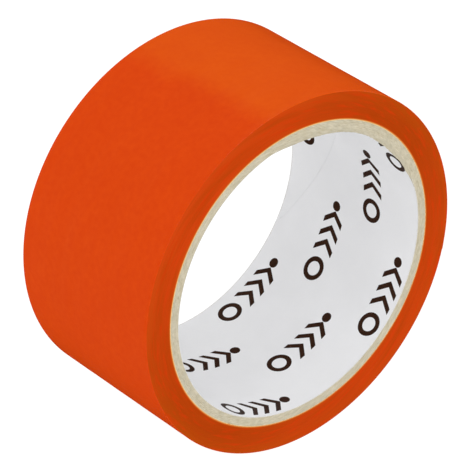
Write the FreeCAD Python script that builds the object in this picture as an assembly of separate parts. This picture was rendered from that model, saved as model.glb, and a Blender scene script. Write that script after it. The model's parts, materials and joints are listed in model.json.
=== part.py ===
"""Roll of packing tape: adhesive film wound on a spiral paper core, standing on its rim.

Frame: the roll's axis is Y, its centre is the origin and Z is up. Angles are measured about the axis
from +X towards +Z. The film's free end is on the +X side and points down.
All lengths are millimetres.
"""

import FreeCAD
import Part
import math
import os

# --- driving dimensions -----------------------------------------------------------------------

BORE_DIAMETER = 76.2        # the standard 3 inch bore
LINER_THICKNESS = 0.13      # the printed paper that lines the bore
PLY_THICKNESS = 0.41        # one strip of coreboard
PLY_COUNT = 6
CORE_LENGTH = 48.0          # the core ends level with the film

SEAM_LEAD = 133.0           # axial advance of a strip's helical edge in one turn
PLY_SEAM_GAP = 0.6          # between the two edges of one coreboard strip
LINER_SEAM_GAP = 0.3
LINER_SEAM_ANGLE = 33.0     # where the liner's seam crosses the middle of the core, in degrees
SEAM_STAGGER = 143.0        # from one strip's seam to the next one's, in degrees

TAPE_WIDTH = 48.0
TAPE_THICKNESS = 0.051      # film and adhesive together
TAPE_LENGTH = 40000.0

TAIL_STRIPS = 4             # the free end bends along as many hinge lines
TAIL_STRIP_LENGTH = 8.0
PEEL_ANGLE = 25.0           # where the film leaves the roll when its end is lifted, in degrees
TAIL_CLEARANCE = 0.02       # between the free end and the turn below it
HINGE_GAP = 0.05            # between the strips of the free end

# --- worked out from them ----------------------------------------------------------------------

BORE_RADIUS = BORE_DIAMETER / 2
PLY_INNER_RADIUS = BORE_RADIUS + LINER_THICKNESS
CORE_RADIUS = PLY_INNER_RADIUS + PLY_COUNT * PLY_THICKNESS
ROLL_RADIUS = math.sqrt(CORE_RADIUS ** 2 + TAPE_LENGTH * TAPE_THICKNESS / math.pi)
TAIL_RADIUS = ROLL_RADIUS + TAIL_CLEARANCE
STRIP_ANGLE = math.degrees(TAIL_STRIP_LENGTH / ROLL_RADIUS)
TAIL_END_ANGLE = PEEL_ANGLE - TAIL_STRIPS * STRIP_ANGLE

ROLL_AXIS = FreeCAD.Vector(0, 1, 0)
ORIGIN = FreeCAD.Vector(0, 0, 0)


def radial(radius, angle, centre=ORIGIN):
    """The point at a radius and angle round the axis, in the plane Y = 0."""
    a = math.radians(angle)
    return centre + FreeCAD.Vector(radius * math.cos(a), 0, radius * math.sin(a))


def arc(radius, first, last, centre=ORIGIN):
    """The arc from one angle to another, either way round."""
    middle = (first + last) / 2
    ends = radial(radius, first, centre), radial(radius, last, centre)
    return Part.Arc(ends[0], radial(radius, middle, centre), ends[1]).toShape()


def line(start, end):
    return Part.LineSegment(start, end).toShape()


def tube(inner, outer, length):
    """A tube on the roll's axis, centred on the origin."""
    base = FreeCAD.Vector(0, -length / 2, 0)
    outside = Part.makeCylinder(outer, length, base, ROLL_AXIS)
    return outside.cut(Part.makeCylinder(inner, length, base, ROLL_AXIS))


def across(edges, width):
    """The solid whose section is the closed outline of edges, centred on Y = 0."""
    face = Part.Face(Part.Wire(Part.__sortEdges__(edges)))
    face.translate(FreeCAD.Vector(0, -width / 2, 0))
    return face.extrude(FreeCAD.Vector(0, width, 0))


# --- the core ------------------------------------------------------------------------------------

def seam(radius, thickness, gap, middle_angle):
    """The helical slot between the edges of one strip, longer and deeper than the strip."""
    overrun = 4.0
    height = CORE_LENGTH + 2 * overrun
    spine = Part.makeHelix(SEAM_LEAD, height, radius)
    depth = 2 * thickness
    corners = [
        FreeCAD.Vector(radius + x * depth, 0, z * gap / 2)
        for x, z in ((-1, -1), (1, -1), (1, 1), (-1, 1), (-1, -1))
    ]
    profile = Part.makePolygon(corners)
    slot = Part.Wire(spine.Edges).makePipeShell([profile], True, True)
    # the helix rises along Z from X: lay it along Y, with its middle at middle_angle
    slot.translate(FreeCAD.Vector(0, 0, -height / 2))
    half_sweep = 180.0 * height / SEAM_LEAD
    slot.rotate(ORIGIN, FreeCAD.Vector(0, 0, 1), -half_sweep)
    slot.rotate(ORIGIN, FreeCAD.Vector(1, 0, 0), 90)
    slot.rotate(ORIGIN, ROLL_AXIS, -middle_angle)
    return slot


def core_strip(inner, thickness, gap, seam_angle):
    """One strip of the core: a tube split by the helical gap between the strip's edges."""
    wall = tube(inner, inner + thickness, CORE_LENGTH)
    return wall.cut(seam(inner + thickness / 2, thickness, gap, seam_angle))


def core():
    strips = {
        "liner_paper": core_strip(
            BORE_RADIUS, LINER_THICKNESS, LINER_SEAM_GAP, LINER_SEAM_ANGLE
        )
    }
    for number in range(1, PLY_COUNT + 1):
        inner = PLY_INNER_RADIUS + (number - 1) * PLY_THICKNESS
        angle = LINER_SEAM_ANGLE + number * SEAM_STAGGER
        strips[f"core_ply_{number}"] = core_strip(inner, PLY_THICKNESS, PLY_SEAM_GAP, angle)
    return strips


# --- the film ------------------------------------------------------------------------------------

def spiral_turn(depth, first):
    """Arcs of the spiral that the film's outside follows, at a depth below the outermost turn.

    The spiral starts at the film's end and sinks by one thickness in a turn, half of it at the
    change to a smaller half circle. first is the angle that it is drawn from."""
    half_way = TAIL_END_ANGLE + 180.0
    outer = ROLL_RADIUS - depth
    shifted = radial(TAPE_THICKNESS / 2, half_way)
    return [
        arc(outer, first, half_way),
        arc(outer - TAPE_THICKNESS / 2, half_way, half_way + 180.0, shifted),
    ]


def wound_tape():
    """All the turns below the outermost one, with the step where that one dives under the end."""
    upper = radial(ROLL_RADIUS - TAPE_THICKNESS, TAIL_END_ANGLE)
    lower = radial(ROLL_RADIUS - 2 * TAPE_THICKNESS, TAIL_END_ANGLE)
    outline = spiral_turn(TAPE_THICKNESS, TAIL_END_ANGLE) + [line(lower, upper)]
    base = FreeCAD.Vector(0, -TAPE_WIDTH / 2, 0)
    hole = Part.makeCylinder(CORE_RADIUS, TAPE_WIDTH, base, ROLL_AXIS)
    return across(outline, TAPE_WIDTH).cut(hole)


def last_turn():
    """The outermost turn, from the peel line round to where it goes under the free end."""
    outside = spiral_turn(0.0, PEEL_ANGLE)
    inside = spiral_turn(TAPE_THICKNESS, PEEL_ANGLE)
    peel = [radial(ROLL_RADIUS - d, PEEL_ANGLE) for d in (0.0, TAPE_THICKNESS)]
    dive = [
        radial(ROLL_RADIUS - d, TAIL_END_ANGLE) for d in (TAPE_THICKNESS, 2 * TAPE_THICKNESS)
    ]
    return across(outside + inside + [line(*peel), line(*dive)], TAPE_WIDTH)


def tail_strips():
    """The free end of the film, which lies on the roll, as strips from the peel line down."""
    strips = {}
    gap_angle = math.degrees(HINGE_GAP / ROLL_RADIUS)
    inside = TAIL_RADIUS - TAPE_THICKNESS
    for number in range(1, TAIL_STRIPS + 1):
        upper = PEEL_ANGLE - (number - 1) * STRIP_ANGLE - gap_angle
        lower = PEEL_ANGLE - number * STRIP_ANGLE
        outline = [
            arc(TAIL_RADIUS, upper, lower),
            arc(inside, upper, lower),
            line(radial(TAIL_RADIUS, upper), radial(inside, upper)),
            line(radial(TAIL_RADIUS, lower), radial(inside, lower)),
        ]
        strips[f"tail_strip_{number}"] = across(outline, TAPE_WIDTH)
    return strips


def main():
    os.makedirs("parts", exist_ok=True)
    nodes = core()
    nodes["wound_tape"] = wound_tape()
    nodes["last_turn"] = last_turn()
    nodes.update(tail_strips())
    for name, shape in nodes.items():
        shape.exportStep(f"parts/{name}.step")
        solids = len(shape.Solids)
        print(f"{name}: {solids} solid, valid {shape.isValid()}, {shape.Volume:.2f} mm3")
    print(f"roll radius {ROLL_RADIUS:.3f}, core radius {CORE_RADIUS:.3f}")
    for number in range(TAIL_STRIPS):
        hinge = radial(TAIL_RADIUS, PEEL_ANGLE - number * STRIP_ANGLE)
        print(f"hinge {number + 1}: x {hinge.x:.4f}, z {hinge.z:.4f}")


main()
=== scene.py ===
"""Looks of a roll of packing tape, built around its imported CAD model.

The roll's axis is Y and it stands on its rim with Z up. Angles are in radians, measured about the axis
from +X towards +Z. Lengths are metres. Radii, ends, hinges and angles come from the frame.
"""

import json
import math

import bmesh
import bpy
import numpy as np
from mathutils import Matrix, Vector
from mathutils.geometry import delaunay_2d_cdt


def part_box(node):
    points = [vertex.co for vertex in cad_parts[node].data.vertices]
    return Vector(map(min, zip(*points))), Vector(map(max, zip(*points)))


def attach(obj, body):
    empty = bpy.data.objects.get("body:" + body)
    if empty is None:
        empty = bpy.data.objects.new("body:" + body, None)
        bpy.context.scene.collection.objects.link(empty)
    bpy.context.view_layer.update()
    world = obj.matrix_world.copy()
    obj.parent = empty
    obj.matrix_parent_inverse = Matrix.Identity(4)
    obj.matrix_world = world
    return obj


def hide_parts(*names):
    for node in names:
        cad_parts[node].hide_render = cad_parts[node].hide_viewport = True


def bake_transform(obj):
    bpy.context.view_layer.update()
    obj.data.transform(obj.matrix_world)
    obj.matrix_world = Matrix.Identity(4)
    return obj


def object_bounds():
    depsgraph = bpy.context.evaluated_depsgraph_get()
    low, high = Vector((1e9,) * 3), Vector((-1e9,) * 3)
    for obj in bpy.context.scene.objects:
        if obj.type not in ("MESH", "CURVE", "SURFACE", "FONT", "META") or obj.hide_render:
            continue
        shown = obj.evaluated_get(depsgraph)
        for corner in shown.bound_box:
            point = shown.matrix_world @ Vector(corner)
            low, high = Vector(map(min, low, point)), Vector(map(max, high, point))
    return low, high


MM = 0.001
TURN = 2 * math.pi

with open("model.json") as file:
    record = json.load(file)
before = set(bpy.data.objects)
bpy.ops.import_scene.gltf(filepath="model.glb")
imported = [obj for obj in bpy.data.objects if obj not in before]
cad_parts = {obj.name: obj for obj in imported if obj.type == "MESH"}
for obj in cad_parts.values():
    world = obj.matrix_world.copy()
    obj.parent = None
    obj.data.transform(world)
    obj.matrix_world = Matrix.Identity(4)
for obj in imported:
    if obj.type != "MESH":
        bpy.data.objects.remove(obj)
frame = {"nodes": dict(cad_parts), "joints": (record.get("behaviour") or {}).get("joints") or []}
cad_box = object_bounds()
rng = np.random.default_rng(20)


# --- sizes read from the frame -------------------------------------------------------------------

def radii(node):
    """The smallest and largest distance of a CAD node's vertices from the roll's axis."""
    reach = [math.hypot(v.co.x, v.co.z) for v in frame["nodes"][node].data.vertices]
    return min(reach), max(reach)


def angle_of(point):
    return math.atan2(point[2], point[0])


PLIES = sorted(n for n in frame["nodes"] if n.startswith("core_ply_"))
STRIPS = sorted(n for n in frame["nodes"] if n.startswith("tail_strip_"))
HINGES = [joint["pos_m"] for joint in frame["joints"]]

LINER_INNER, LINER_OUTER = radii("liner_paper")
CORE_OUTER = radii(PLIES[-1])[1]
CORE_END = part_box(PLIES[-1])[1].y
FILM_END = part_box("wound_tape")[1].y
FILM_OUTER = radii("last_turn")[1]
FILM_THICKNESS = radii(STRIPS[0])[1] - radii(STRIPS[0])[0]

PEEL = angle_of(HINGES[0])
STRIP = PEEL - angle_of(HINGES[1])
TAIL_END = angle_of(HINGES[-1]) - STRIP

# the core's strips, wound as the CAD winds them
SEAM_LEAD = 133 * MM
LINER_SEAM = math.radians(33)
SEAM_STAGGER = math.radians(143)


# --- mesh helpers --------------------------------------------------------------------------------

def smooth_noise(where, scale, octaves=3, seed=0):
    """Sums of sines with random phases at points where (n by d), from -1 to 1, about scale apart."""
    draw = np.random.default_rng(seed)
    total = np.zeros(len(where))
    weight = 0.0
    for octave in range(octaves):
        size = scale / 2 ** octave
        share = 0.55 ** octave
        for _ in range(7):
            direction = draw.normal(size=where.shape[1])
            direction /= np.linalg.norm(direction)
            phase = draw.uniform(0, TURN)
            pitch = draw.uniform(0.7, 1.4) * size
            total += share * np.sin(where @ direction * TURN / pitch + phase)
        weight += share * math.sqrt(7)
    return np.clip(total / weight, -1, 1)


def place(angles, radius, y):
    """Points in the row frame from arrays of angle, radius and y."""
    shape = np.broadcast(angles, radius, y).shape
    points = np.empty(shape + (3,))
    points[..., 0] = radius * np.cos(angles)
    points[..., 1] = y
    points[..., 2] = radius * np.sin(angles)
    return points


def new_piece(name, points, faces, materials, face_slots=None, sharp=40.0):
    """A smooth-shaded mesh object, with edges sharper than sharp degrees kept crisp."""
    mesh = bpy.data.meshes.new(name)
    mesh.from_pydata(np.asarray(points).reshape(-1, 3).tolist(), [], faces)
    for material in materials:
        mesh.materials.append(material)
    if face_slots is not None:
        mesh.polygons.foreach_set("material_index", np.asarray(face_slots, np.int32))
    mesh.polygons.foreach_set("use_smooth", np.ones(len(mesh.polygons), bool))
    mesh.validate()
    mesh.update()
    mesh.set_sharp_from_angle(angle=math.radians(sharp))
    piece = bpy.data.objects.new(name, mesh)
    bpy.context.scene.collection.objects.link(piece)
    return piece


def loft(columns, rows, closed_around):
    """Quads over a grid of columns round the axis and rows along a closed profile."""
    faces = []
    for c in range(columns if closed_around else columns - 1):
        d = (c + 1) % columns
        for r in range(rows):
            s = (r + 1) % rows
            faces.append((c * rows + r, c * rows + s, d * rows + s, d * rows + r))
    return faces


# --- materials -----------------------------------------------------------------------------------

class Nodes:
    """Shorthand for building one material's node tree."""

    def __init__(self, name):
        self.material = bpy.data.materials.new(name)
        self.material.use_nodes = True
        self.tree = self.material.node_tree
        self.shader = self.tree.nodes["Principled BSDF"]

    def add(self, kind, **settings):
        node = self.tree.nodes.new(kind)
        for key, value in settings.items():
            setattr(node, key, value)
        return node

    def link(self, source, target):
        self.tree.links.new(source, target)

    def math(self, operation, a, b=None):
        node = self.add("ShaderNodeMath", operation=operation)
        for socket, value in zip(node.inputs, (a, b)):
            if value is None:
                continue
            if isinstance(value, (int, float)):
                socket.default_value = value
            else:
                self.link(value, socket)
        return node.outputs[0]

    def object_xyz(self):
        coordinates = self.add("ShaderNodeTexCoord").outputs["Object"]
        split = self.add("ShaderNodeSeparateXYZ")
        self.link(coordinates, split.inputs[0])
        return split.outputs

    def radius(self):
        x, _, z = self.object_xyz()
        squares = self.math("ADD", self.math("MULTIPLY", x, x), self.math("MULTIPLY", z, z))
        return self.math("SQRT", squares)

    def polar(self, radial, round_about, axial):
        """A texture position that follows the roll.

        Its scales are per metre of radius, per unit of the angle's sine and per metre of Y."""
        x, y, z = self.object_xyz()
        r = self.radius()
        across = self.math("MULTIPLY", r, radial)
        cosine = self.math("MULTIPLY", self.math("DIVIDE", x, r), round_about)
        sine = self.math("MULTIPLY", self.math("DIVIDE", z, r), round_about)
        along = self.math("MULTIPLY", y, axial)
        combine = self.add("ShaderNodeCombineXYZ")
        self.link(self.math("ADD", across, cosine), combine.inputs[0])
        self.link(self.math("ADD", along, sine), combine.inputs[1])
        self.link(self.math("SUBTRACT", sine, cosine), combine.inputs[2])
        return combine.outputs[0]

    def round_from(self, angle):
        """How far round the roll a point is from an angle, 0 to pi either way."""
        x, _, z = self.object_xyz()
        along = self.math("MULTIPLY", x, math.cos(angle))
        along = self.math("ADD", along, self.math("MULTIPLY", z, math.sin(angle)))
        cosine = self.math("DIVIDE", along, self.radius())
        return self.math("ARCCOSINE", self.math("MINIMUM", cosine, 0.99999))

    def noise(self, position=None, scale=1.0, detail=4.0, roughness=0.55):
        node = self.add("ShaderNodeTexNoise")
        if position is None:
            position = self.add("ShaderNodeTexCoord").outputs["Object"]
        self.link(position, node.inputs["Vector"])
        node.inputs["Scale"].default_value = scale
        node.inputs["Detail"].default_value = detail
        node.inputs["Roughness"].default_value = roughness
        return node.outputs["Fac"]

    def ramp(self, value, stops):
        """Colours at places along 0 to 1."""
        node = self.add("ShaderNodeValToRGB")
        elements = node.color_ramp.elements
        while len(elements) < len(stops):
            elements.new(0.5)
        for element, (place_at, colour) in zip(elements, stops):
            element.position = place_at
            element.color = (*colour, 1.0)
        self.link(value, node.inputs[0])
        return node.outputs["Color"]

    def mix(self, share, a, b):
        """Colour a, turning into b as share goes from 0 to 1."""
        node = self.add("ShaderNodeMix", data_type="RGBA")
        for socket, value in ((node.inputs[0], share), (node.inputs[6], a), (node.inputs[7], b)):
            if isinstance(value, tuple):
                socket.default_value = (*value, 1.0)
            elif isinstance(value, (int, float)):
                socket.default_value = value
            else:
                self.link(value, socket)
        return node.outputs[2]

    def span(self, value, low, high, out_low=0.0, out_high=1.0):
        """Maps low to high onto out_low to out_high, and holds the ends beyond them."""
        node = self.add("ShaderNodeMapRange")
        for socket, number in zip(node.inputs[1:5], (low, high, out_low, out_high)):
            socket.default_value = number
        self.link(value, node.inputs[0])
        return node.outputs[0]

    def bump(self, height, strength, distance):
        node = self.add("ShaderNodeBump")
        node.inputs["Strength"].default_value = strength
        node.inputs["Distance"].default_value = distance
        self.link(height, node.inputs["Height"])
        self.link(node.outputs[0], self.shader.inputs["Normal"])

    def set(self, **values):
        """Constants and links on the shader's own sockets."""
        for name, value in values.items():
            socket = self.shader.inputs[name.replace("_", " ")]
            if isinstance(value, bpy.types.NodeSocket):
                self.link(value, socket)
            elif isinstance(value, tuple) and len(value) == 3 and socket.type == "RGBA":
                socket.default_value = (*value, 1.0)
            else:
                socket.default_value = value


WETTED_FILM = (0.685, 0.0635, 0.0042)
REDDER_FILM = (0.680, 0.0590, 0.0038)
# painted light: the lighter, yellower colour of the film on the top of the roll, where the lamps fall
PAINTED_LIGHT_FILM = (0.712, 0.0895, 0.0049)
# where the painted light lies round the top of the roll, and how it slants across the film
PAINTED_LIGHT_SLANT = 1.6        # radians per metre across the film
PAINTED_LIGHT_MIDDLE = math.radians(75)
PAINTED_LIGHT_HALF = math.radians(31)
EDGE_BRIGHT = math.radians(132)     # the painted sheen of the cut edges is brightest here and on the far side


def film_face():
    """The glossy back of the film: faint lines along its length and a soft mottle of adhesive.

    A lighter, yellower zone across the film's width at the top of the roll is painted light, where the
    lamps fall on it. The sheen stands for the light that the film scatters back where it is seen edge
    on."""
    m = Nodes("film_face")
    mottle = m.noise(scale=90, detail=4)
    grain = m.noise(scale=650, detail=3)
    lines = m.noise(m.polar(600, 1.5, 900), detail=4)
    broad = m.noise(m.polar(0, 1.2, 30), detail=2)
    wetted = m.mix(m.span(broad, 0.35, 0.65), WETTED_FILM, REDDER_FILM)
    slant = m.math("MULTIPLY", m.object_xyz()[1], PAINTED_LIGHT_SLANT)
    # the lighter, yellower zone of painted light on the top of the roll, with a mottled edge; the grain
    # is fainter there
    painted_light_edge = m.math("ADD", m.round_from(PAINTED_LIGHT_MIDDLE), m.math("MULTIPLY", mottle, 0.12))
    painted_light_edge = m.math("SUBTRACT", painted_light_edge, slant)
    painted_light = m.span(painted_light_edge, PAINTED_LIGHT_HALF + 0.10, PAINTED_LIGHT_HALF - 0.04)
    colour = m.mix(painted_light, wetted, PAINTED_LIGHT_FILM)
    colour = m.mix(m.span(mottle, 0.35, 0.7, 0.0, 0.22), colour, (0.60, 0.046, 0.003))
    colour = m.mix(m.span(lines, 0.55, 0.8, 0.0, 0.14), colour, (0.72, 0.095, 0.008))
    even = m.span(painted_light, 0.0, 1.0, 1.0, 0.35)
    grained = m.math("MULTIPLY", m.span(grain, 0.32, 0.68, 0.0, 0.55), even)
    colour = m.mix(grained, colour, (0.63, 0.046, 0.003))
    m.set(Base_Color=colour, Roughness=m.span(lines, 0.3, 0.7, 0.15, 0.23))
    m.set(IOR=1.48, Specular_IOR_Level=0.05)
    m.set(Sheen_Weight=0.6, Sheen_Roughness=0.3, Sheen_Tint=(0.80, 0.08, 0.006))
    m.bump(m.math("ADD", m.math("MULTIPLY", lines, 0.35), mottle), 0.2, 0.05 * MM)
    return m.material


def film_lip():
    """The very end of the film, paler because it stands free of the roll."""
    m = Nodes("film_lip")
    streaks = m.noise(scale=700, detail=3)
    colour = m.ramp(m.span(streaks, 0.3, 0.7), [
        (0.0, (0.76, 0.135, 0.012)),
        (1.0, (0.82, 0.175, 0.018)),
    ])
    m.set(Base_Color=colour, Roughness=0.25, IOR=1.48, Specular_IOR_Level=0.05)
    return m.material


def film_edge():
    """The cut edges of the wound turns: fine rings, and sectors painted darker and more brown as the
    shade between their sheen.

    The adhesive of the first turns shows as a pale line against the core."""
    m = Nodes("film_edge")
    depth = m.span(m.radius(), CORE_OUTER, FILM_OUTER)
    rings = m.noise(m.polar(2600, 0.8, 0), detail=3, roughness=0.7)
    bands = m.noise(m.polar(520, 3.2, 0), detail=3)
    sectors = m.noise(m.polar(60, 2.2, 0), detail=2)
    blotches = m.noise(m.polar(1100, 5, 0), detail=4, roughness=0.6)
    colour = m.ramp(depth, [
        (0.0, (0.78, 0.38, 0.09)),
        (0.016, (0.66, 0.19, 0.03)),
        (0.045, (0.56, 0.072, 0.006)),
        (0.10, (0.61, 0.054, 0.004)),
        (0.35, (0.62, 0.052, 0.004)),
        (0.70, (0.60, 0.054, 0.004)),
        (0.95, (0.60, 0.060, 0.005)),
        (1.0, (0.60, 0.062, 0.005)),
    ])
    wound = m.span(depth, 0.02, 0.06)
    # painted shade: more brown in the sectors between the sheen at EDGE_BRIGHT and its far side, and
    # more the further round from EDGE_BRIGHT, with some random spread
    from_bright = m.round_from(EDGE_BRIGHT)
    sheen_side = m.math("ABSOLUTE", m.math("COSINE", from_bright))
    uneven = m.math("ADD", m.math("MULTIPLY", sectors, 0.5), m.math("MULTIPLY", from_bright, 0.06))
    shade_side = m.math("SUBTRACT", m.math("ADD", 0.90, uneven), sheen_side)
    painted_shade = m.math("MULTIPLY", m.span(shade_side, 0.15, 1.0, 0.0, 0.9), wound)
    brown = m.ramp(depth, [
        (0.0, (0.395, 0.043, 0.001)),
        (0.5, (0.400, 0.047, 0.0015)),
        (1.0, (0.440, 0.066, 0.002)),
    ])
    colour = m.mix(painted_shade, colour, brown)
    banded = m.math("MULTIPLY", m.span(bands, 0.42, 0.68, 0.0, 0.75), wound)
    colour = m.mix(banded, colour, (0.45, 0.050, 0.002))
    blotched = m.math("MULTIPLY", m.span(blotches, 0.50, 0.75, 0.0, 0.75), wound)
    colour = m.mix(blotched, colour, (0.66, 0.038, 0.002))
    lined = m.math("MULTIPLY", m.span(rings, 0.4, 0.8, 0.0, 0.3), wound)
    colour = m.mix(lined, colour, (0.40, 0.036, 0.002))
    m.set(Base_Color=colour, Roughness=m.span(rings, 0.3, 0.7, 0.3, 0.42))
    m.set(Specular_IOR_Level=0.005)
    m.bump(rings, 0.3, 0.03 * MM)
    return m.material


def coreboard(name, shade):
    """Buff board: fibres lying round the core, with duller patches, and adhesive at the film's side."""
    m = Nodes(name)
    fibres = m.noise(m.polar(2000, 16, 1300), detail=5, roughness=0.6)
    patches = m.noise(scale=420, detail=4, roughness=0.6)
    colour = m.ramp(m.span(fibres, 0.30, 0.70), [
        (0.0, (0.50, 0.44, 0.30)),
        (0.5, (0.60, 0.54, 0.40)),
        (1.0, (0.68, 0.62, 0.48)),
    ])
    colour = m.mix(m.span(patches, 0.45, 0.70, 0.0, 0.6), colour, (0.51, 0.48, 0.37))
    glued = m.span(m.radius(), CORE_OUTER - 0.28 * MM, CORE_OUTER - 0.06 * MM)
    colour = m.mix(glued, colour, (0.82, 0.58, 0.25))
    # darker by 1 - shade: slightly for the board itself, and as painted shade in the lip's copy
    colour = m.mix(1 - shade, colour, (0.0, 0.0, 0.0))
    m.set(Base_Color=colour)
    m.set(Roughness=0.92, Specular_IOR_Level=0.1)
    m.bump(m.math("ADD", fibres, patches), 0.5, 0.08 * MM)
    return m.material


def liner_paper():
    """Smooth coated white paper with faint rub marks along its own winding."""
    m = Nodes("liner_paper")
    grain = m.noise(scale=1500, detail=5, roughness=0.6)
    cloud = m.noise(scale=60, detail=3)
    colour = m.ramp(m.span(cloud, 0.3, 0.7), [(0.0, (0.80, 0.80, 0.81)), (1.0, (0.84, 0.84, 0.85))])
    colour = m.mix(m.span(grain, 0.35, 0.7, 0.0, 0.12), colour, (0.74, 0.74, 0.76))
    m.set(Base_Color=colour)
    m.set(Roughness=0.55, Specular_IOR_Level=0.12)
    m.bump(m.math("ADD", m.math("MULTIPLY", grain, 0.4), cloud), 0.15, 0.05 * MM)
    return m.material


def ink():
    """Dark brown print, a little uneven where the paper shows through."""
    m = Nodes("print_ink")
    cover = m.noise(scale=2200, detail=4, roughness=0.7)
    colour = m.ramp(m.span(cover, 0.35, 0.75), [
        (0.0, (0.024, 0.008, 0.003)),
        (1.0, (0.055, 0.020, 0.009)),
    ])
    m.set(Base_Color=colour)
    m.set(Roughness=0.5, Specular_IOR_Level=0.08)
    return m.material


FILM_FACE = film_face()
FILM_LIP = film_lip()
FILM_EDGE = film_edge()
BOARD = coreboard("coreboard", 0.98)
# a darker copy of the board for the lip round the bore: painted shade
BOARD_SHADED = coreboard("coreboard_shaded", 0.90)
PAPER = liner_paper()
INK = ink()


# --- the film ------------------------------------------------------------------------------------

EDGE_ROUND = 0.12 * MM      # the outermost turns sink a little at the film's edges
FILM_COLUMNS = 600
END_ROWS = 58               # across each end face of the film
RIDGE_DEPTH = 0.010 * MM
TURN_OFFSET = 0.030 * MM    # from one turn to another
TURN_WANDER = 0.022 * MM    # along one turn


def outer_radius(angle):
    """The spiral of the film's outside, from its free end on."""
    return FILM_OUTER - FILM_THICKNESS * (angle - TAIL_END) / TURN


def width_rows(count, half_width):
    """Places across the film, close together at the rounded edges."""
    round_steps = np.linspace(0, math.pi / 2, 7)
    edge = half_width - EDGE_ROUND + EDGE_ROUND * np.sin(round_steps)
    inner = np.linspace(0, half_width - EDGE_ROUND, count)[:-1]
    half = np.concatenate([inner, edge])
    return np.concatenate([-half[::-1], half[1:]])


def edge_drop(y):
    """How far the outside sinks at a place across the film."""
    past = np.clip(np.abs(y) - (FILM_END - EDGE_ROUND), 0, EDGE_ROUND)
    return EDGE_ROUND - np.sqrt(np.maximum(EDGE_ROUND ** 2 - past ** 2, 0))


def gauge_ridges(y):
    """Ridges along the film, from tiny differences in its thickness, never above its surface."""
    return RIDGE_DEPTH * (smooth_noise(y[:, None], 11 * MM, 3, seed=4) - 1)


def winding_offset(radius, angles):
    """How far each turn's edge lies behind the end face: none stands out of it."""
    across = smooth_noise(radius.reshape(-1, 1), 1.5 * MM, 4, seed=9).reshape(radius.shape)
    ring = np.stack([radius.ravel() * 350, np.cos(angles).ravel(), np.sin(angles).ravel()], 1)
    wander = smooth_noise(ring, 2.0, 2, seed=10).reshape(radius.shape)
    return TURN_OFFSET * (across - 1) + TURN_WANDER * (wander - 1)


def wound_film():
    angles = PEEL + np.linspace(0, TURN, FILM_COLUMNS + 1)
    outer = outer_radius(angles)
    y_face = width_rows(12, FILM_END)
    depth = np.linspace(0, 1, END_ROWS)[:-1]
    rows = []
    for side, steps in ((-1, depth), (0, None), (1, depth[::-1])):
        if side == 0:
            for y, drop, ridge in zip(y_face, edge_drop(y_face), gauge_ridges(y_face)):
                rows.append((outer - drop + ridge, np.full_like(outer, y)))
            continue
        for step in steps:
            radius = CORE_OUTER + step * (outer - EDGE_ROUND - CORE_OUTER)
            fade = min(1.0, (1 - step) * 6)
            lift = winding_offset(radius + side * 0.02, angles) * fade
            rows.append((radius, side * (FILM_END + lift)))
    radius = np.stack([r for r, _ in rows], 1)
    y = np.stack([v for _, v in rows], 1)
    points = place(angles[:, None], radius, y)
    faces = loft(len(angles), len(rows), closed_around=False)
    on_end = np.zeros(len(rows), bool)
    on_end[:len(depth)] = True
    on_end[-len(depth) - 1:-1] = True
    slots = np.tile(on_end.astype(int), len(angles) - 1).tolist()
    # the step at the peel line closes the ring
    last = (len(angles) - 1) * len(rows)
    for r in range(len(rows)):
        s = (r + 1) % len(rows)
        faces.append((last + r, last + s, s, r))
        slots.append(int(on_end[r]))
    piece = new_piece("film_roll", points, faces, [FILM_FACE, FILM_EDGE], slots, sharp=50)
    weld(piece)
    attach(piece, "roll")
    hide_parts("wound_tape", "last_turn")


def weld(piece, distance=1e-7):
    """Joins the vertices that lie on one another and drops the faces that this empties."""
    work = bmesh.new()
    work.from_mesh(piece.data)
    bmesh.ops.remove_doubles(work, verts=work.verts, dist=distance)
    bmesh.ops.recalc_face_normals(work, faces=work.faces)
    work.to_mesh(piece.data)
    work.free()
    piece.data.update()


TAIL_THICKNESS = 0.7 * FILM_THICKNESS       # clear of the turn that the free end lies on
TIP_LENGTH = 3.5 * MM
TIP_LIFT = 0.08 * MM
LIP_WIDTH = 0.7 * MM      # the part at the very end that no adhesive holds down


def tip_lift(angles):
    """How far the free end stands off the roll: nothing but for its last few millimetres."""
    from_tip = (angles - TAIL_END) * FILM_OUTER
    share = np.clip(1 - from_tip / TIP_LENGTH, 0, 1)
    return TIP_LIFT * share ** 2


def tail_film(number, first, last):
    """A stretch of the free end, from one angle down to another, lying in the roll's last step."""
    angles = np.linspace(first, last, max(8, round(abs(first - last) / math.radians(0.25))))
    y = width_rows(12, FILM_END)
    along = outer_radius(angles) + tip_lift(angles)
    across = gauge_ridges(y) - edge_drop(y)
    top = along[:, None] + across[None, :]
    under = top[:, ::-1] - TAIL_THICKNESS
    radius = np.concatenate([top, under], 1)
    points = place(angles[:, None], radius, np.concatenate([y, y[::-1]])[None, :])
    rows = 2 * len(y)
    faces = loft(len(angles), rows, closed_around=False)
    half = len(y)
    for column in (0, len(angles) - 1):
        base = column * rows
        for r in range(half - 1):
            quad = (base + r, base + rows - 1 - r, base + rows - 2 - r, base + r + 1)
            faces.append(quad if column == 0 else quad[::-1])
    at_tip = (angles - TAIL_END) * FILM_OUTER < LIP_WIDTH
    slots = np.repeat((at_tip[:-1] & at_tip[1:]).astype(int), rows).tolist()
    slots += [0] * (half - 1) + [int(at_tip[-1])] * (half - 1)
    materials = [FILM_FACE, FILM_LIP] if at_tip.any() else [FILM_FACE]
    piece = new_piece(f"tail_film_{number}", points, faces, materials, slots)
    weld(piece)
    return piece


def free_end():
    """The free end, cut into stretches that each lie across one hinge."""
    middles = [PEEL - STRIP * (k + 0.5) for k in range(len(STRIPS))]
    bounds = [PEEL] + middles[:-1] + [TAIL_END]
    for number in range(len(STRIPS)):
        piece = tail_film(number + 1, bounds[number], bounds[number + 1])
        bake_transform(piece)
        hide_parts(STRIPS[number])


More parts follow.
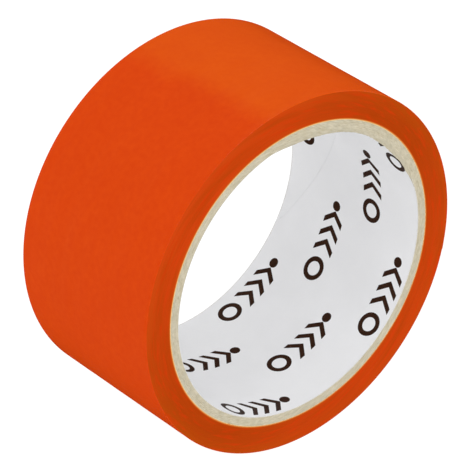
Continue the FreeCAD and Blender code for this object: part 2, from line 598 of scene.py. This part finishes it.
# --- the core ------------------------------------------------------------------------------------

BOARD_COLUMNS = 900
SAW_ROUGHNESS = 0.045 * MM
SET_BACK = 0.04 * MM            # how unevenly the strips are cut
SEAM_NOTCH = 0.15 * MM
GROOVE = 0.05 * MM              # between one strip and the next


def seam_at(middle, y):
    """The angle at which a seam that crosses the core's middle at one angle reaches y."""
    return middle - y * TURN / SEAM_LEAD


def ring_position(angles, radius):
    """Points for noise that closes on itself round the roll."""
    return np.stack([radius * np.cos(angles), radius * np.sin(angles)], 1)


def board_strip(number, node):
    """One strip of the core, with its sawn ends and the notch where its edges meet."""
    inner, outer = radii(node)
    angles = np.linspace(0, TURN, BOARD_COLUMNS, endpoint=False)
    seam = LINER_SEAM + number * SEAM_STAGGER
    across = [(0.02, GROOVE), (0.22, 0.0), (0.5, 0.0), (0.8, 0.0), (0.98, GROOVE)]
    rows = []
    for side in (-1, 1):
        gap = np.abs((angles - seam_at(seam, side * CORE_END) + math.pi) % TURN - math.pi)
        notch = SEAM_NOTCH * np.clip(1.4 - gap / math.radians(0.5), 0, 1)
        set_back = SET_BACK * rng.uniform(0.1, 1.0)
        for share, groove in (across if side < 0 else across[::-1]):
            radius = inner + share * (outer - inner)
            place_at = ring_position(angles, radius)
            rough = SAW_ROUGHNESS * (1 + smooth_noise(place_at, 1.1 * MM, 3, seed=31 * number + side))
            low = rough + set_back + notch + groove
            rows.append((np.full_like(angles, radius), side * (CORE_END - low)))
    radius = np.stack([r for r, _ in rows], 1)
    y = np.stack([v for _, v in rows], 1)
    points = place(angles[:, None], radius, y)
    piece = new_piece(f"board_strip_{number}", points, loft(len(angles), len(rows), True), [BOARD])
    weld(piece)
    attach(piece, "roll")
    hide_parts(node)


def hump(angles, middle, half_width):
    """A smooth rise to 1 at an angle, falling away over half_width; both in degrees."""
    apart = (np.degrees(angles) - middle + 180) % 360 - 180
    return np.exp(-(apart / half_width) ** 2)


BURR_COLUMNS = 1400
BURR_HALF = 47                  # degrees either side of its middle
BURR_FADE = 16                  # degrees over which it dies out
BURR_HIDDEN = 0.08 * MM         # how far it lies behind the liner's face where there is none


def core_burr(name, side, middle, height):
    """The soft lip that the cut leaves round part of the bore's edge, thickest either side of middle.

    Middle is in degrees. Height is in millimetres, about as far as the lip reaches into the bore."""
    angles = np.linspace(0, TURN, BURR_COLUMNS, endpoint=False)
    place_at = ring_position(angles, LINER_INNER)
    broad = smooth_noise(place_at, 9 * MM, 2, seed=71 + side)
    fine = smooth_noise(place_at, 1.8 * MM, 3, seed=72 + side)
    apart = np.abs((np.degrees(angles) - middle + 180) % 360 - 180)
    shown = np.clip((BURR_HALF - apart) / BURR_FADE, 0, 1)
    shown = shown * shown * (3 - 2 * shown)
    lumps = 0.72 + 0.35 * hump(angles, middle - 17, 9) + 0.45 * hump(angles, middle + 25, 14)
    lip = 0.10 + height * (lumps + 0.10 * broad + 0.07 * fine)
    reach = MM * shown * lip - BURR_HIDDEN
    crest = CORE_END - MM * (0.14 - 0.12 * shown)
    thick = MM * (0.06 + 0.25 * shown)
    section = [
        (LINER_OUTER + 0.5 * MM, crest - 0.12 * MM),
        (LINER_OUTER + 0.0 * MM, crest),
        (LINER_INNER - 0.5 * reach, crest - 0.02 * MM - 0.1 * reach),
        (LINER_INNER - reach, crest - 0.04 * MM - 0.35 * reach),
        (LINER_INNER - 0.95 * reach, crest - 0.04 * MM - 0.35 * reach - 0.7 * thick),
        (LINER_INNER - 0.4 * reach, crest - 0.5 * reach - 1.6 * thick),
        (LINER_INNER + 0.05 * MM, crest - 0.7 * reach - 2.2 * thick),
        (LINER_OUTER + 0.5 * MM, crest - 0.7 * reach - 2.2 * thick),
    ]
    radius = np.stack([r + 0 * angles for r, _ in section], 1)
    y = side * np.stack([v for _, v in section], 1)
    points = place(angles[:, None], radius, y)
    # the lip takes the board painted darker, for the shade it sits in
    piece = new_piece(name, points, loft(len(angles), len(section), True), [BOARD_SHADED])
    weld(piece)
    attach(piece, "roll")


# --- the printed liner ---------------------------------------------------------------------------

# the print repeats five times round the bore, in rows that each start further round
PRINT_REPEAT = TURN / 5
PRINT_ROW_SHIFT = math.radians(-32.5)
PRINT_ROW_PITCH = 12.4 * MM
PRINT_FIRST = math.radians(-34.2)
PRINT_FIRST_ROW = 4.6 * MM
PRINT_ROWS = 4
PRINT_JUMP = math.radians(10.5)     # where a new turn of the strip begins, past the seam
LINER_COLUMN = math.radians(0.5)
LINER_ROWS = 26
SEAM_GAP = 0.05 * MM
SEAM_LIFT = 0.03 * MM
SEAM_LIFT_WIDTH = 1.2 * MM
LINER_SET_BACK = 0.10 * MM      # at the near end, where the paper ends short of the cut
LINER_FACE_GAP = 0.05 * MM      # leaves room for the seam inside the CAD's bore
LINER_BACK_GAP = 0.01 * MM


def circle(x, y, radius, count=28):
    steps = [TURN * k / count for k in range(count)]
    return [(x + radius * math.cos(a), y + radius * math.sin(a)) for a in steps]


def chevron(x, depth, height, stroke):
    """A > shape with its point at x + depth."""
    half = height / 2
    outer = [(x, half), (x + stroke, half), (x + stroke + depth, 0)]
    return outer + [(x + stroke, -half), (x, -half), (x + depth, 0)]


def motif():
    """The printed mark in millimetres: a ring, three chevrons and a dot."""
    shapes = [circle(-7.7, 0, 3.2), circle(-7.7, 0, 1.9)]
    shapes += [chevron(x, 2.5, 6.6, 1.6) for x in (-3.4, 0.4, 4.2)]
    shapes += [circle(9.7, 0, 1.35, 20)]
    return shapes


def printed_outlines():
    """The outlines of the marks on and round the flat liner, as angle and y."""
    outlines = []
    for row in range(PRINT_ROWS):
        y = -FILM_END + PRINT_FIRST_ROW + row * PRINT_ROW_PITCH
        for repeat in range(-6, 12):
            centre = PRINT_FIRST + repeat * PRINT_REPEAT + row * PRINT_ROW_SHIFT
            past_seam = centre - seam_at(LINER_SEAM, y)
            if past_seam < PRINT_REPEAT:
                centre += PRINT_JUMP
            for shape in motif():
                outlines.append([(centre + u * MM / LINER_INNER, y + v * MM) for u, v in shape])
    return outlines


def inside(point, outline):
    """Whether a point is within an outline, by counting crossings."""
    x, y = point
    crossed = False
    for (ax, ay), (bx, by) in zip(outline, outline[1:] + outline[:1]):
        if (ay > y) != (by > y) and x < ax + (y - ay) * (bx - ax) / (by - ay):
            crossed = not crossed
    return crossed


def flat_liner():
    """Triangles of the liner laid flat, as points (angle, y), faces and which faces are inked."""
    half_gap = SEAM_GAP / 2 / LINER_INNER
    corners = []
    for y in (-CORE_END, CORE_END):
        start = seam_at(LINER_SEAM, y)
        corners.append(((start + half_gap, y), (start + TURN - half_gap, y)))
    (a, b), (d, c) = corners
    points, edges = [], []

    def add_line(start, end, count):
        first = len(points)
        for k in range(count + 1):
            t = k / count
            points.append((start[0] + t * (end[0] - start[0]), start[1] + t * (end[1] - start[1])))
        edges.extend((first + k, first + k + 1) for k in range(count))

    around_count = round(TURN / LINER_COLUMN)
    add_line(a, b, around_count)
    add_line(d, c, around_count)
    add_line(a, d, LINER_ROWS * 8)
    add_line(b, c, LINER_ROWS * 8)
    for row in range(1, LINER_ROWS):
        y = -CORE_END + 2 * CORE_END * row / LINER_ROWS
        start = seam_at(LINER_SEAM, y) + half_gap
        shift = 0.5 * LINER_COLUMN * (row % 2)
        for k in range(1, around_count):
            angle = start + k * (TURN - 2 * half_gap) / around_count + shift
            points.append((angle, y))
    outlines = [o for o in printed_outlines() if touches(o)]
    for outline in outlines:
        first = len(points)
        points.extend(outline)
        count = len(outline)
        edges.extend((first + k, first + (k + 1) % count) for k in range(count))
    # equal units both ways make well-shaped triangles
    scaled = [Vector((angle * LINER_INNER / MM, y / MM)) for angle, y in points]
    made = delaunay_2d_cdt(scaled, edges, [], 0, 1e-5)
    flat = [(v.x * MM / LINER_INNER, v.y * MM) for v in made[0]]
    faces, inked = [], []
    for face in made[2]:
        x = sum(flat[i][0] for i in face) / 3
        y = sum(flat[i][1] for i in face) / 3
        start = seam_at(LINER_SEAM, y)
        if abs(y) > CORE_END or not start + half_gap < x < start + TURN - half_gap:
            continue
        near = [o for o in outlines if abs(o[0][0] - x) < 0.3 and abs(o[0][1] - y) < 8 * MM]
        faces.append(tuple(face))
        inked.append(sum(inside((x, y), o) for o in near) % 2)
    return flat, faces, inked


def touches(outline):
    """Whether an outline reaches into the flat liner."""
    for x, y in outline:
        start = seam_at(LINER_SEAM, y)
        if abs(y) <= CORE_END and start < x < start + TURN:
            return True
    return False


def liner():
    flat, faces, inked = flat_liner()
    used = sorted({i for face in faces for i in face})
    index = {old: new for new, old in enumerate(used)}
    flat = np.array([flat[i] for i in used])
    faces = [tuple(index[i] for i in face) for face in faces]
    count = len(flat)
    y_end = np.maximum(flat[:, 1], -CORE_END + LINER_SET_BACK)
    # one edge of the strip stands a hair proud along the seam
    past_seam = (flat[:, 0] - seam_at(LINER_SEAM, flat[:, 1])) * LINER_INNER
    lift = SEAM_LIFT * np.exp(-(past_seam / SEAM_LIFT_WIDTH) ** 2)
    front = place(flat[:, 0], LINER_INNER - lift + LINER_FACE_GAP, y_end)
    back = place(flat[:, 0], LINER_OUTER - LINER_BACK_GAP, y_end)
    # the inner face looks at the axis
    front_faces = [orient(face, flat) for face in faces]
    back_faces = [tuple(i + count for i in reversed(face)) for face in front_faces]
    seen = {}
    for face in front_faces:
        for a, b in zip(face, face[1:] + face[:1]):
            seen[(a, b)] = seen.get((a, b), 0) + 1
    rim = [(a, b) for a, b in seen if (b, a) not in seen]
    walls = [(b, a, a + count, b + count) for a, b in rim]
    slots = inked + [0] * (len(back_faces) + len(walls))
    points = np.concatenate([front, back])
    piece = new_piece("liner", points, front_faces + back_faces + walls, [PAPER, INK], slots)
    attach(piece, "roll")
    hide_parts("liner_paper")


def orient(face, flat):
    """The face's corners in the order that makes its front look at the roll's axis."""
    (ax, ay), (bx, by), (cx, cy) = (flat[i] for i in face)
    turn = (bx - ax) * (cy - ay) - (by - ay) * (cx - ax)
    return face if turn > 0 else tuple(reversed(face))


# --- stage, light and camera ---------------------------------------------------------------------

ROOM_LIGHT = 1.0
FLOOR_GLOW = 0.98


def white_stage():
    """A plain floor in a white room. Glossy surfaces mirror neither of them."""
    low, _ = cad_box
    size = 12.0
    floor_mesh = bpy.data.meshes.new("floor")
    corners = [(-size, -size, low.z), (size, -size, low.z), (size, size, low.z), (-size, size, low.z)]
    floor_mesh.from_pydata(corners, [], [(0, 1, 2, 3)])
    floor = bpy.data.objects.new("floor", floor_mesh)
    floor.visible_glossy = False
    bpy.context.scene.collection.objects.link(floor)
    m = Nodes("floor")
    m.set(Base_Color=(0.12, 0.12, 0.12), Roughness=1.0, Specular_IOR_Level=0.0)
    m.set(Emission_Color=(1.0, 1.0, 1.0), Emission_Strength=FLOOR_GLOW)
    m.material.cycles.emission_sampling = "NONE"
    floor_mesh.materials.append(m.material)

    world = bpy.data.worlds.new("studio")
    bpy.context.scene.world = world
    world.use_nodes = True
    background = world.node_tree.nodes["Background"]
    background.inputs["Color"].default_value = (1.0, 1.0, 1.0, 1.0)
    background.inputs["Strength"].default_value = ROOM_LIGHT
    world.cycles_visibility.glossy = False


def softbox(name, place_at, size, power, only_gloss=False):
    """A square area light that looks at the roll; one that is only for gloss lights no matt surface."""
    light = bpy.data.lights.new(name, "AREA")
    light.shape = "SQUARE"
    light.size = size
    light.energy = power
    lamp = bpy.data.objects.new(name, light)
    lamp.location = place_at
    lamp.rotation_mode = "QUATERNION"
    lamp.rotation_quaternion = Vector(place_at).to_track_quat("Z", "Y")
    lamp.visible_diffuse = not only_gloss
    bpy.context.scene.collection.objects.link(lamp)


def lights():
    softbox("key_light", (-0.15, -0.45, 0.85), 0.7, 1.2)
    softbox("top_gloss", (0.0, 0.0, 1.0), 0.9, 9.0, only_gloss=True)
    softbox("left_gloss", (-0.95, -0.15, 0.45), 0.45, 3.5, only_gloss=True)
    softbox("right_gloss", (0.95, -0.15, 0.45), 0.45, 3.5, only_gloss=True)
    softbox("front_gloss", (0.1, -0.85, 0.55), 0.6, 4.0, only_gloss=True)


CAMERA_AZIMUTH = math.radians(-39.8)
CAMERA_ELEVATION = math.radians(31.27)
CAMERA_DISTANCE = 0.8665
CAMERA_LENS = 269.6
CAMERA_OFFSET = (-0.69 * MM, 0.11 * MM)     # right and up, from a line of sight through the centre


def camera():
    data = bpy.data.cameras.new("camera")
    data.sensor_width = 36.0
    data.lens = CAMERA_LENS
    data.clip_start = 0.01
    data.clip_end = 50.0
    cam = bpy.data.objects.new("camera", data)
    a, e = CAMERA_AZIMUTH, CAMERA_ELEVATION
    back = Vector((math.sin(a) * math.cos(e), -math.cos(a) * math.cos(e), math.sin(e)))
    right = Vector((math.cos(a), math.sin(a), 0.0))
    up = back.cross(right)
    cam.location = back * CAMERA_DISTANCE + right * CAMERA_OFFSET[0] + up * CAMERA_OFFSET[1]
    cam.rotation_mode = "QUATERNION"
    cam.rotation_quaternion = back.to_track_quat("Z", "Y")
    bpy.context.scene.collection.objects.link(cam)
    bpy.context.scene.camera = cam


camera()
white_stage()
lights()
wound_film()
free_end()
for ply, ply_node in enumerate(PLIES, start=1):
    board_strip(ply, ply_node)
core_burr("burr_near", -1, 61, 1.0)
core_burr("burr_far", 1, 200, 0.4)
liner()

bpy.context.scene.view_settings.view_transform = "Standard"
